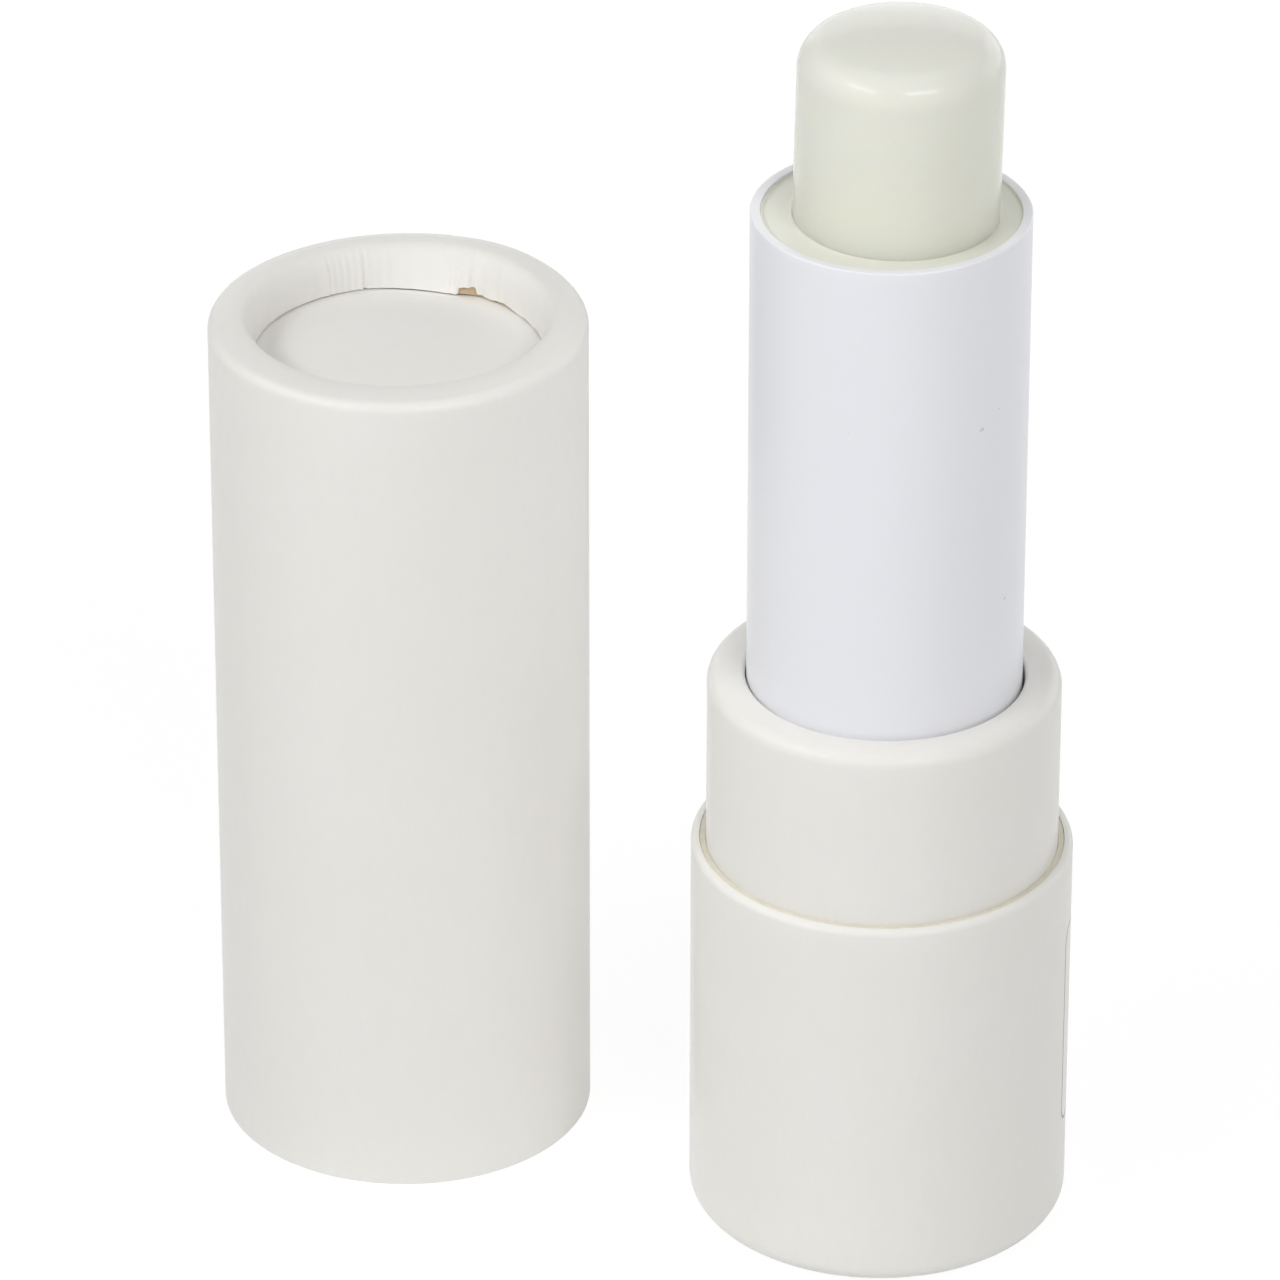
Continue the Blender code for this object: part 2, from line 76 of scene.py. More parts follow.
class Tube:
    """Axis, radius and ends of an upright round solid, from its box."""

    def __init__(self, node):
        low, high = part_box(node)
        self.x, self.y = (low.x + high.x) / 2, (low.y + high.y) / 2
        self.r = (high.x - low.x) / 2
        self.low, self.high = low.z, high.z


CAP, CAP_DISC = Tube("cap_wrap"), Tube("cap_disc")
BASE, BASE_DISC = Tube("base_wrap"), Tube("base_disc")
NECK, BARREL = Tube("neck_wrap"), Tube("barrel_shell")
SLEEVE, BALM = Tube("spiral_sleeve"), Tube("balm")
for label, tube in (("cap", CAP), ("base", BASE), ("neck", NECK), ("barrel", BARREL), ("balm", BALM)):
    print(label, "radius", round(tube.r / MM, 2), "mm, top", round(tube.high / MM, 2), "mm")

# %% [markdown]
# A photograph of a small product is taken from some way off with a long lens, which keeps its upright
# sides nearly parallel. The camera stands half a metre away and looks down by thirty degrees. Its
# place and angle were worked out from the ellipses of the rims, and a small shift of the lens frames
# the picture without turning the camera.

# %% Place the camera
PITCH = np.radians(29.853)
ROLL = np.radians(0.061)
FOCAL_PIXELS = 9654.67
PICTURE = 1280
CENTRE_X, CENTRE_Y = 637.68, 727.17
CAMERA_AT = (-0.000215, -0.4503, 0.284365)
SENSOR_WIDTH = 36

camera_data = bpy.data.cameras.new("camera")
camera_data.sensor_width = SENSOR_WIDTH
camera_data.lens = FOCAL_PIXELS / PICTURE * SENSOR_WIDTH
camera_data.shift_x = (PICTURE / 2 - CENTRE_X) / PICTURE
camera_data.shift_y = (CENTRE_Y - PICTURE / 2) / PICTURE
camera_data.clip_start, camera_data.clip_end = 0.02, 20
camera = bpy.data.objects.new("camera", camera_data)
camera.location = CAMERA_AT
camera.rotation_mode = "ZYX"
camera.rotation_euler = (np.pi / 2 - PITCH, 0, ROLL)
bpy.context.scene.collection.objects.link(camera)
bpy.context.scene.camera = camera
shifts = round(camera_data.shift_x, 4), round(camera_data.shift_y, 4)
print("lens", round(camera_data.lens, 1), "mm, shift", *shifts)

# %% [markdown]
# Materials are written as sums, the way one would write the pattern on paper. A small class wraps a
# socket of a shader node, so that `1 - mask` or `a * b` adds the Math nodes by itself, and one method
# adds any other node from its type, its settings and the values of its sockets.

# %% A class for shader maths


class Wire:
    """A socket of a shader node that can be used in a Python expression."""

    def __init__(self, finish, socket):
        self.finish, self.socket = finish, socket

    def maths(self, operation, *values):
        return self.finish.maths(operation, self, *values)

    def __add__(self, other):
        return self.maths("ADD", other)

    def __sub__(self, other):
        return self.maths("SUBTRACT", other)

    def __mul__(self, other):
        return self.maths("MULTIPLY", other)

    def __truediv__(self, other):
        return self.maths("DIVIDE", other)

    def __rsub__(self, other):
        return self.finish.maths("SUBTRACT", other, self)

    __radd__ = __add__
    __rmul__ = __mul__


class Finish:
    """One material, built up from expressions on the point that is being shaded."""

    def __init__(self, name, tube=None):
        self.made = bpy.data.materials.new(name)
        self.made.use_nodes = True
        self.tree = self.made.node_tree
        self.shader = self.tree.nodes["Principled BSDF"]
        self.point = self.node("ShaderNodeTexCoord", output="Object")
        if tube:
            values = {0: self.point, 1: (tube.x, tube.y, 0)}
            self.point = self.node("ShaderNodeVectorMath", {"operation": "SUBTRACT"}, values)

    def node(self, kind, settings=None, values=None, output=0):
        """Adds a node, sets it, then fills its sockets with numbers, colours or links."""
        made = self.tree.nodes.new(kind)
        for key, value in (settings or {}).items():
            if key == "stops":
                self.fill_ramp(made.color_ramp, value)
            else:
                setattr(made, key, value)
        for key, value in (values or {}).items():
            if isinstance(value, Wire):
                self.tree.links.new(value.socket, made.inputs[key])
            else:
                made.inputs[key].default_value = value
        return Wire(self, made.outputs[output])

    def fill_ramp(self, ramp, stops):
        """Gives a colour ramp its stops: pairs of a position and a grey level."""
        while len(ramp.elements) < len(stops):
            ramp.elements.new(1)
        for element, (position, level) in zip(ramp.elements, stops):
            element.position, element.color = position, (level, level, level, 1)

    def maths(self, operation, *values):
        return self.node("ShaderNodeMath", {"operation": operation}, dict(enumerate(values)))

    def mix(self, share, first, second):
        """A colour between two, at a share from 0 to 1."""
        values = {0: share, 6: first, 7: second}
        return self.node("ShaderNodeMix", {"data_type": "RGBA"}, values, output=2)

    def ramp(self, value, *stops):
        """A grey level that follows a value from stop to stop."""
        return self.node("ShaderNodeValToRGB", {"stops": stops}, {0: value})

    def noise(self, size, detail=2.0, stretch=(1, 1, 1), rough=0.5):
        """Cloudy noise between 0 and 1, whose clouds are about size across."""
        where = self.node("ShaderNodeVectorMath", {"operation": "MULTIPLY"}, {0: self.point, 1: stretch})
        values = {"Vector": where, "Scale": 1 / size, "Detail": detail, "Roughness": rough}
        return self.node("ShaderNodeTexNoise", {}, values)

    def around(self):
        """Angle about the tube's axis in radians, distance from it and height."""
        split = self.node("ShaderNodeSeparateXYZ", {}, {0: self.point}).socket.node
        x, y, z = (Wire(self, socket) for socket in split.outputs)
        return y.maths("ARCTAN2", x), (x * x + y * y).maths("SQRT"), z

    def bump(self, height, depth, strength=1.0):
        """Turns a height between 0 and 1 into a tilt of the surface, for relief of the given depth."""
        values = {"Height": height, "Distance": depth, "Strength": strength}
        return self.node("ShaderNodeBump", {}, values)

    def set(self, **values):
        """Fills the shader's own sockets; an underscore stands for a space."""
        for key, value in values.items():
            socket = self.shader.inputs[key.replace("_", " ")]
            if isinstance(value, Wire):
                self.tree.links.new(value.socket, socket)
            else:
                socket.default_value = value
        return self.made


# %% [markdown]
# A turned piece is a section carried round an axis. The section is a chain of straight and round
# stretches, written as arrays of distances from the axis and heights. Because it is an array, it can
# differ from column to column, which is how paper gets its creases and seams without any loop over
# its points.

# %% Sections: straight stretches, round stretches, chains


def straight(x0, z0, x1, z1, count):
    """Points spaced evenly from one end to the other."""
    return np.stack([np.linspace(x0, x1, count), np.linspace(z0, z1, count)], 1)


def arc(x, z, radius, start, end, count, tall=None):
    """The centre plus the radius times the cosine and sine of angles spaced evenly, in degrees.

    With a second radius for the height, the arc is part of an ellipse.
    """
    turn = np.radians(np.linspace(start, end, count))
    return np.stack([x + radius * np.cos(turn), z + (tall or radius) * np.sin(turn)], 1)


def chain(*stretches):
    """Stretches laid end to end, with points that fall on the one before left out."""
    points = np.concatenate(stretches)
    apart = np.linalg.norm(np.diff(points, axis=0), axis=1) > 1e-8
    return points[np.concatenate([[True], apart])]


def normals(line):
    """The direction across a section, to the left of its course: the tangent turned a quarter turn."""
    tangent = np.gradient(line, axis=-2)
    across = np.stack([-tangent[..., 1], tangent[..., 0]], -1)
    return across / np.linalg.norm(across, axis=-1, keepdims=True)


def even_angles(count):
    """Angles once around in degrees, from the right-hand side and against the clock."""
    return np.linspace(0, 360, count, endpoint=False)


# %% [markdown]
# A grid of points becomes a mesh by joining each point to its neighbours with index arithmetic. The
# last column meets the first. A closed section meets itself too, which gives a wall its thickness and
# leaves no open edge. A section that ends on the axis becomes a pole, and there the points that fall
# together are merged.

# %% From a grid to a piece

CREASE = np.radians(38)


def sweep(tube, angles, section):
    """A grid of points: the section carried round the tube's axis through the angles."""
    turn = np.radians(angles)[:, None]
    section = np.broadcast_to(section, (len(angles), *section.shape[-2:]))
    away, height = section[..., 0], section[..., 1]
    return np.stack([tube.x + away * np.cos(turn), tube.y + away * np.sin(turn), height], -1)


def mesh_of(name, grid, loop=True):
    """A mesh from a grid of points: four-cornered faces between neighbours, poles merged."""
    columns, rows = grid.shape[:2]
    i = np.arange(columns)[:, None]
    j = np.arange(rows if loop else rows - 1)[None, :]
    beside, below = (i + 1) % columns, (j + 1) % rows
    corners = [i * rows + j, i * rows + below, beside * rows + below, beside * rows + j]
    faces = np.stack(corners, -1).reshape(-1, 4)
    mesh = bpy.data.meshes.new(name)
    mesh.from_pydata(grid.reshape(-1, 3), [], faces.tolist())
    if not loop:
        shape = bmesh.new()
        shape.from_mesh(mesh)
        bmesh.ops.remove_doubles(shape, verts=shape.verts, dist=1e-8)
        shape.to_mesh(mesh)
        shape.free()
    return mesh


def show(name, mesh, finish, body, node):
    """Makes a mesh a piece of the object: gives it its finish and its body, and hides the solid that it
    stands for.
    """
    mesh.shade_smooth()
    mesh.set_sharp_from_angle(angle=CREASE)
    mesh.materials.append(finish)
    piece = bpy.data.objects.new(name, mesh)
    bpy.context.scene.collection.objects.link(piece)
    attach(piece, body)
    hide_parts(node)
    print(name, len(mesh.polygons), "faces")
    return piece


# %% [markdown]
# The tubes are covered with white paper that has a satin coat. Close up such paper isn't one colour:
# it is a little cloudy, it holds short fibres, and its surface has a fine tooth that breaks up the
# shine. All of that is noise at three sizes, from ten millimetres down to a tenth of a millimetre.

# %% Cover paper

PAPER = (0.868, 0.858, 0.823, 1)
PAPER_WARM = (0.858, 0.83, 0.774, 1)
PAPER_COOL = (0.838, 0.836, 0.816, 1)
PAPER_ROUGHNESS, PAPER_RELIEF = 0.6, 0.012 * MM
COAT, COAT_ROUGHNESS = 0.34, 0.12
COAT_FADE = 0.35 * MM


def paper_patterns(finish):
    """The clouds, fibres and tooth that every cover paper has."""
    clouds = finish.noise(9 * MM, detail=3)
    fibres = finish.noise(0.5 * MM, detail=3, stretch=(1, 1, 0.35), rough=0.6)
    tooth = finish.noise(0.11 * MM, detail=2)
    return clouds, fibres, tooth


def cover_paper(name, tube, ink=None, bare=None):
    """White coated paper: clouds tint it, fibres fleck it, and its tooth is its relief.

    The coat is rubbed off where the paper was creased, inside the distance from the axis named bare.
    """
    finish = Finish(name, tube)
    clouds, fibres, tooth = paper_patterns(finish)
    coat = COAT + (clouds - 0.5) * 0.3
    if bare:
        _, away, _ = finish.around()
        coat = coat * ((away - bare) / COAT_FADE).maths("MAXIMUM", 0).maths("MINIMUM", 1)
    colour = finish.mix(finish.ramp(clouds, (0.35, 0), (0.7, 0.35)), PAPER, PAPER_WARM)
    colour = finish.mix(finish.ramp(fibres, (0.45, 0), (0.75, 0.5)), colour, PAPER_COOL)
    roughness = PAPER_ROUGHNESS + (fibres - 0.5) * 0.16
    relief = tooth * 0.35 + fibres * 0.65
    if ink:
        mask = ink(finish)
        colour = finish.mix(mask, colour, INK)
        roughness = roughness + mask * 0.15
    return finish.set(
        Base_Color=colour,
        Roughness=roughness,
        Normal=finish.bump(relief, PAPER_RELIEF, 0.6),
        IOR=1.4,
        Specular_IOR_Level=0.15,
        Coat_Weight=coat,
        Coat_Roughness=COAT_ROUGHNESS,
        Coat_IOR=1.38,
    )


# %% [markdown]
# Under the paper is board, wound in plies. It shows only as cut edges and inside the cap. It is matt
# and rough, flecked with darker fibres, and its edge shows the plies as faint rings, which are a wave
# of the distance from the axis.

# %% Board

PLY = 0.16 * MM


def board(name, tube, pale, dark):
    """Raw board: two colours mixed by fibres, faint rings of plies on its edges, a rough relief."""
    finish = Finish(name, tube)
    fibres = finish.noise(0.35 * MM, detail=4, stretch=(1, 1, 0.5), rough=0.7)
    clouds = finish.noise(3 * MM)
    _, away, _ = finish.around()
    plies = (away * (2 * np.pi / PLY)).maths("SINE") * 0.5 + 0.5
    share = finish.ramp(fibres * 0.7 + clouds * 0.3, (0.3, 0), (0.75, 1))
    colour = finish.mix(share, pale, dark)
    return finish.set(
        Base_Color=colour,
        Roughness=0.82 + (fibres - 0.5) * 0.2,
        Normal=finish.bump(fibres * 0.75 + plies * 0.25, 0.05 * MM, 0.8),
        IOR=1.45,
        Specular_IOR_Level=0.25,
    )


TAN, TAN_DARK = (0.66, 0.52, 0.36, 1), (0.52, 0.38, 0.24, 1)
IVORY, IVORY_DARK = (0.79, 0.76, 0.66, 1), (0.69, 0.65, 0.54, 1)

# %% [markdown]
# A paper tube with a rolled edge starts as a plain tube. A hot former rolls its end inwards and down,
# so that the section is a hairpin: up the outside, over a rounded rim and back down a short lip. The
# lip is where the paper has too little room, and there it gathers into creases. One function draws
# that hairpin for the cap, the neck and, upside down, the base.

# %% The hairpin section of a rolled edge

WRAP = 0.12 * MM
GLUE = 0.02 * MM
WALL = 0.64 * MM
CURL_DEPTH = 2.4 * MM
LIP_LIFT = 0.03 * MM
CROWN = 0.05 * MM
SAG_REACH = 3 * MM
LIP_ROWS, CURVE_ROWS, RIM_ROWS, ROUND_ROWS, SIDE_ROWS = 12, 16, 7, 9, 16


class Hairpin:
    """The section of a rolled edge, from the lip's lower end over the rim and down the outside.

    The lip meets the rim along a quarter of an ellipse, as wide and tall as curl says. A cut edge
    that is turned in ends the side with a small round and a flat of its own.
    lip_share runs from 1 at the lip's lower end to 0 where the rim begins, and stays 0 after it.
    rim_share is 1 on the rim, falls to 0 down the lip and fades down the side.
    """

    def __init__(self, outer, hole, top, low, outer_round, curl, crown=CROWN, turned_in=None):
        wide, tall = curl
        rim_start, rim_end = hole + wide, outer - outer_round
        level, lip_low = top - crown, top - CURL_DEPTH
        cut_round, cut_end = turned_in or (0, outer)
        rim = straight(rim_start, level, rim_end, level, RIM_ROWS)
        rim[:, 1] += crown * (1 - np.linspace(-1, 1, RIM_ROWS) ** 2)
        stretches = [
            straight(hole, lip_low, hole, level - tall, LIP_ROWS),
            arc(rim_start, level - tall, wide, 180, 90, CURVE_ROWS, tall),
            rim,
            arc(rim_end, level - outer_round, outer_round, 90, 0, ROUND_ROWS),
            straight(outer, level - outer_round, outer, low + cut_round, SIDE_ROWS),
        ]
        if turned_in:
            stretches.append(arc(outer - cut_round, low + cut_round, cut_round, 0, -90, 6))
            stretches.append(straight(outer - cut_round, low, cut_end, low, 3))
        self.line = chain(*stretches)
        inner = np.arange(len(self.line)) < LIP_ROWS + CURVE_ROWS - 1
        drop = np.clip(level - self.line[:, 1], 0, None)
        self.lip_share = np.where(inner, np.clip(drop / (level - lip_low), 0, 1), 0)
        self.rim_share = np.where(inner, 1 - self.lip_share, np.exp(-drop / SAG_REACH))

    def toward(self, other, share):
        """This section drawn towards another one, column by column, by shares from 0 to 1."""
        for key in ("line", "lip_share", "rim_share"):
            first, second = getattr(self, key), getattr(other, key)
            setattr(self, key, first + share.reshape(-1, *[1] * first.ndim) * (second - first))
        return self


# %% [markdown]
# Creases and seams are heights above the plain section, worked out for all angles and rows at once.
# A crease is a narrow valley with a low ridge beside it. A lap seam is a step where the paper ends on
# top of itself: on one side the lower layer dips by the paper's thickness and comes back slowly.

# %% Creases, seams and ripples


def angle_from(angles, middle):
    """Signed angle from a middle, between -180 and 180 degrees."""
    return (angles - middle + 180) % 360 - 180


def creases(angles, places):
    """Valleys and ridges at places of angle, width in degrees and depth: two bell curves each."""
    places = np.array(places)
    away = angle_from(angles[:, None], places[:, 0]) / places[:, 1]
    shape = 0.6 * np.exp(-((away - 1.6) ** 2)) - np.exp(-(away**2))
    return (shape * places[:, 2]).sum(1)


def lap_seam(angles, middle, step, spread):
    """The lower layer's dip just before a seam: full at the seam, fading with distance."""
    before = middle - angles[:, None] if np.ndim(middle) else angle_from(middle, angles)[:, None]
    edge = 1 / (1 + np.exp(-np.clip(before / 0.06, -40, 40)))
    return -step * edge * np.exp(-np.clip(before, 0, None) / spread)


def ripple(angles, seed, waves, size):
    """A smooth unevenness once around: a few cosines with random phases and shrinking heights."""
    random = np.random.default_rng(seed)
    phase = random.uniform(0, 2 * np.pi, waves)
    count = np.arange(1, waves + 1)
    waves_at = np.cos(np.radians(angles)[:, None] * count + phase) / np.sqrt(count)
    return size * waves_at.sum(1) / np.sqrt(waves)


def random_creases(seed, count, start, end):
    """Creases spread by chance over part of the way around, shallow ones more often."""
    random = np.random.default_rng(seed)
    places = np.sort(random.uniform(start, end, count))
    widths = random.uniform(0.6, 1.6, count)
    depths = random.uniform(0.01, 0.04, count) * MM
    return np.stack([places, widths, depths], 1)


# %% [markdown]
# The wrap is a thin sheet, so its mesh has a front, a back and cut edges. The back is the front moved
# inwards along the section's own normals, by the paper's thickness. The board's front is much the same line
# without the creases, moved a little deeper, so that the board follows the seams and the unevenness of its
# paper.

# %% Paper and board from one line


def sheet_loop(front, thickness):
    """A closed section: the front, then the back in reverse order."""
    back = front - normals(front) * thickness
    return np.concatenate([front, back[..., ::-1, :]], -2)


def flipped(section):
    """A section turned upside down about Z = 0, in an order that still faces outwards."""
    turned = section[..., ::-1, :].copy()
    turned[..., 1] *= -1
    return turned


def shaped(pin, relief, lean=0.0, lift=0.0, sag=0.0):
    """The hairpin with its relief along the normals, its lip leant in and lifted, its rim lowered."""
    line = pin.line + normals(pin.line) * relief[..., None]
    line[..., 0] -= np.reshape(lean, (-1, 1)) * pin.lip_share**2
    line[..., 1] += np.reshape(lift, (-1, 1)) * pin.lip_share**2
    line[..., 1] -= np.reshape(sag, (-1, 1)) * pin.rim_share
    return line


# %% [markdown]
# The cap's lip is its liveliest spot. At the back the paper laps over itself: the upper layer curls in
# over the disc, and right beside it a small piece is missing, so that the tan board shows. To the
# right of the gap the edge is torn unevenly, and to the left a group of fine creases fans down. These
# places were read off the photograph and are given as angles around the cap. The lip's end follows the
# disc below it, whose edge has been pressed down.

# %% The cap's cover paper

CAP_ROUND = 0.65 * MM
CAP_HOLE = CAP.r - 2.45 * MM
TIGHT_CURL, LOOSE_CURL = (0.35 * MM, 0.35 * MM), (1.15 * MM, 1.9 * MM)
SEAM_RIM, SEAM_LIP = 74.0, 67.0
SEAM_STEP, SEAM_STEP_LIP = 0.02 * MM, 0.06 * MM
GAP_START, GAP_END, GAP_HEIGHT = 58.8, 66.0, 0.38 * MM
# Middle and spread in degrees of the part of the rim that stands proud and of the part that sags
PROUD_PART, LOW_PART = (55, 28), (135, 25)
RIM_SAG, LOW_SAG = 0.19, 0.04
WORN_INSIDE = 8.6 * MM
FALL_WIDTH, FALL = 1.2 * MM, 0.18 * MM
# Angle, lean inwards and lift of the lip's end in millimetres
LIP_EDGE = np.array([
    (0, 0.0, 0.02), (13, 0.0, 0.03), (20, 0.0, 0.09), (25, 0.0, 0.02), (31, 0.0, 0.09),
    (35, 0.0, 0.02), (40, 0.0, 0.12), (46, 0.0, 0.22), (52, 0.0, 0.10), (58, 0.0, 0.20),
    (66.4, 0.45, 0.01), (73, 0.52, 0.01), (82, 0.42, 0.01), (90, 0.26, 0.01), (97, 0.10, 0.03),
    (103.8, 0.0, 0.04), (104.6, 0.0, 0.10), (105.4, 0.0, 0.04), (118, 0.0, 0.04), (127, 0.0, 0.05),
    (134, 0.0, 0.04), (143, 0.0, 0.06), (153, 0.0, 0.04), (167, 0.0, 0.03), (200, 0.0, 0.02),
    (250, 0.0, 0.02), (310, 0.0, 0.02), (360, 0.0, 0.02),
])
# Angle, width in degrees and depth in millimetres
CAP_CREASES = np.array([
    (45, 1.2, 0.04), (49.6, 1.4, 0.05), (56.6, 1.0, 0.05), (60.6, 0.8, 0.11), (63.8, 0.9, 0.04),
    (66.0, 0.6, 0.05), (69.0, 0.8, 0.03), (86, 1.6, 0.02), (93.5, 1.2, 0.03), (98.0, 1.0, 0.02),
    (101.6, 0.9, 0.03), (104.6, 0.8, 0.08), (107.4, 1.0, 0.03), (110.4, 0.8, 0.04), (113.4, 1.0, 0.03),
    (116.2, 0.8, 0.05), (118.6, 0.8, 0.06), (124, 1.4, 0.02),
])
CAP_CREASES[:, 2] *= MM



def disc_fall(away):
    """How far the pressed disc has fallen: the square of the way covered past the start of the fall."""
    return FALL * np.clip((away - CAP_HOLE) / FALL_WIDTH + 1, 0, 1) ** 2


cap_angles = np.unique(np.concatenate([even_angles(540), np.arange(56, 78, 0.12)]))
looseness = (1 + np.sin(np.radians(cap_angles))) / 2
tight = Hairpin(CAP.r, CAP_HOLE, CAP.high, CAP.low, CAP_ROUND, TIGHT_CURL)
loose = Hairpin(CAP.r, CAP_HOLE + 0.1 * MM, CAP.high, CAP.low, CAP_ROUND, LOOSE_CURL)
cap_pin = tight.toward(loose, looseness)
gap_opens = 1 / (1 + np.exp(-(cap_angles - GAP_START) / 0.12))
gap_closes = 1 / (1 + np.exp(-(cap_angles - GAP_END) / 0.06))
in_gap = gap_opens - gap_closes
lip_lean = np.interp(cap_angles, LIP_EDGE[:, 0], LIP_EDGE[:, 1]) * MM
lip_lift = np.interp(cap_angles, LIP_EDGE[:, 0], LIP_EDGE[:, 2]) * MM
torn_lift = lip_lift + in_gap * (GAP_HEIGHT + ripple(cap_angles * 9, 5, 4, 0.03 * MM))
settled = disc_fall(CAP_HOLE - lip_lean)
proud, low_part = (
    np.exp(-((angle_from(cap_angles, middle) / spread) ** 2)) for middle, spread in (PROUD_PART, LOW_PART)
)
cap_sag = (RIM_SAG - RIM_SAG * proud + LOW_SAG * low_part) * MM
all_creases = np.concatenate([CAP_CREASES, random_creases(3, 20, 130, 398)])
folds = creases(cap_angles, all_creases)[:, None] * cap_pin.lip_share**0.5
seam_at = SEAM_RIM - (SEAM_RIM - SEAM_LIP) * cap_pin.lip_share
seam_step = SEAM_STEP + (SEAM_STEP_LIP - SEAM_STEP) * cap_pin.lip_share
under = lap_seam(cap_angles, seam_at, seam_step, 7.0)
uneven = ripple(cap_angles, 8, 7, 0.012 * MM)[:, None] - 0.02 * MM
cap_line = shaped(cap_pin, folds + under + uneven, lip_lean, torn_lift - settled, cap_sag)
cap_wrap_mesh = mesh_of("cap_cover", sweep(CAP, cap_angles, sheet_loop(cap_line, WRAP)))
cap_paper = cover_paper("cap_paper", CAP, bare=WORN_INSIDE)
show("cap_cover", cap_wrap_mesh, cap_paper, "cap", "cap_wrap")

# %% [markdown]
# Behind the paper lies the tan board of the cap. Its front is the cover's line again, without the gap and
# the creases, and its back is the plain bore that slides over the neck. A spiral line in the bore is the
# joint of the inmost ply.

# %% The cap's board tube

BORE_ROWS = 60
PLY_RISE = 30 * MM
PLY_GROOVE = 0.03 * MM


def board_section(front, bore, ceiling, lip_back, lip_low, groove):
    """A closed section: the front line, then up the bore, across under the rim and down the lip."""
    columns = len(front)
    low = front[0, -1, 1] + 0.04 * MM
    up = straight(bore, low, bore, ceiling, BORE_ROWS)
    inside = np.broadcast_to(up, (columns, *up.shape)).copy()
    inside[..., 0] += groove(inside[..., 1])
    across = straight(bore, ceiling, lip_back, ceiling, 4)
    back = chain(across, straight(lip_back, ceiling, lip_back, lip_low, 4))
    back = np.broadcast_to(back[1:], (columns, *back[1:].shape))
    return np.concatenate([front, inside, back], 1)


def spiral_groove(angles, start):
    """A shallow valley that climbs with the angle: depth times a bell curve of the height to it."""

    def groove(height):
        line = (angles / 360 * PLY_RISE)[:, None] + start
        away = (height - line + PLY_RISE / 2) % PLY_RISE - PLY_RISE / 2
        return PLY_GROOVE * np.exp(-((away / (0.12 * MM)) ** 2))

    return groove


soft_relief = under + uneven
board_line = shaped(cap_pin, soft_relief, lip_lean, LIP_LIFT - settled, cap_sag)
board_front = board_line - normals(board_line) * (WRAP + GLUE)
cap_board_section = board_section(
    board_front,
    CAP.r - WALL,
    CAP.high - WALL - 0.2 * MM,
    CAP_HOLE + WALL,
    CAP.high - CURL_DEPTH + LIP_LIFT - FALL,
    spiral_groove(cap_angles, 4 * MM),
)
cap_board_mesh = mesh_of("cap_board", sweep(CAP, cap_angles, cap_board_section))
tan_board = board("tan_board", CAP, TAN, TAN_DARK)
show("cap_board", cap_board_mesh, tan_board, "cap", "cap_tube")

# %% [markdown]
# The discs that close the cap and the base are punched from board with the same white paper on both
# sides. A punched disc is never quite flat. It dishes a little, and where it slips under the lip it has
# been pressed down, so that it falls away into a soft shadow.

# %% The discs

DISC_DISH = 0.04 * MM
DISC_EDGE = 0.12 * MM


def disc_grid(tube, seed):
    """A round plate from the middle of its top to the middle of its underside, slightly dished.

    The dish is a share of the squared distance from the axis, a ripple tilts the plate a little, and
    the top falls away where it slips under the lip.
    """
    angles = even_angles(240)
    edge = DISC_EDGE
    top = straight(0, tube.high, tube.r - edge, tube.high, 60)
    top[:, 1] -= disc_fall(top[:, 0])
    side = chain(
        arc(tube.r - edge, tube.high - edge, edge, 90, 0, 5),
        arc(tube.r - edge, tube.low + edge, edge, 0, -90, 5),
    )
    under = straight(tube.r - edge, tube.low, 0, tube.low, 24)
    section = np.broadcast_to(chain(top, side, under), (len(angles), *chain(top, side, under).shape)).copy()
    out = section[..., 0] / tube.r
    section[..., 1] -= DISC_DISH * (1 - out**2)
    section[..., 1] -= ripple(angles, seed, 3, DISC_DISH / 3)[:, None] ** 2 / MM * out**2
    return sweep(tube, angles, section)


disc_paper = cover_paper("disc_paper", CAP)
for body, tube in (("cap", CAP_DISC), ("base", BASE_DISC)):
    plate = mesh_of(f"{body}_plate", disc_grid(tube, len(body)), loop=False)
    show(f"{body}_plate", plate, disc_paper, body, f"{body}_disc")

# %% [markdown]
# The base carries a thin printed frame on its right-hand side, of which the photograph shows just one
# edge. It is drawn here as an empty frame with rounded corners. The distance of a point from such a
# frame is a classic sum: take the point's distance past the corner's centre, less the corner's
# radius. Where that distance is near zero, there is ink.

# %% The printed frame

INK = (0.24, 0.23, 0.25, 1)
FRAME_MIDDLE = np.radians(10)
FRAME_HALF_WIDTH, FRAME_HALF_HEIGHT = 4.5 * MM, 6.05 * MM
FRAME_HEIGHT = 11.7 * MM
FRAME_CORNER, INK_HALF = 0.9 * MM, 0.08 * MM


def printed_frame(finish):
    """Ink where the distance to a rounded rectangle, unrolled from the tube, is under half a line."""
    angle, _, height = finish.around()
    across = ((angle - FRAME_MIDDLE) * BASE.r).maths("ABSOLUTE") - (FRAME_HALF_WIDTH - FRAME_CORNER)
    along = (height - FRAME_HEIGHT).maths("ABSOLUTE") - (FRAME_HALF_HEIGHT - FRAME_CORNER)
    past_x, past_z = across.maths("MAXIMUM", 0), along.maths("MAXIMUM", 0)
    outside = (past_x * past_x + past_z * past_z).maths("SQRT")
    inside = across.maths("MAXIMUM", along).maths("MINIMUM", 0)
    distance = (outside + inside - FRAME_CORNER).maths("ABSOLUTE")
    return (1.5 - distance / INK_HALF).maths("MAXIMUM", 0).maths("MINIMUM", 1) * 0.8


# %% [markdown]
# The base is the same hairpin turned upside down: it is rolled in at the bottom, under its disc, and
# cut square at the top, where the neck is glued in. The cut leaves a ring of bare board that the
# knife has roughened, which shows as a yellowish line with a ragged inner edge.

# %% The base's paper and board

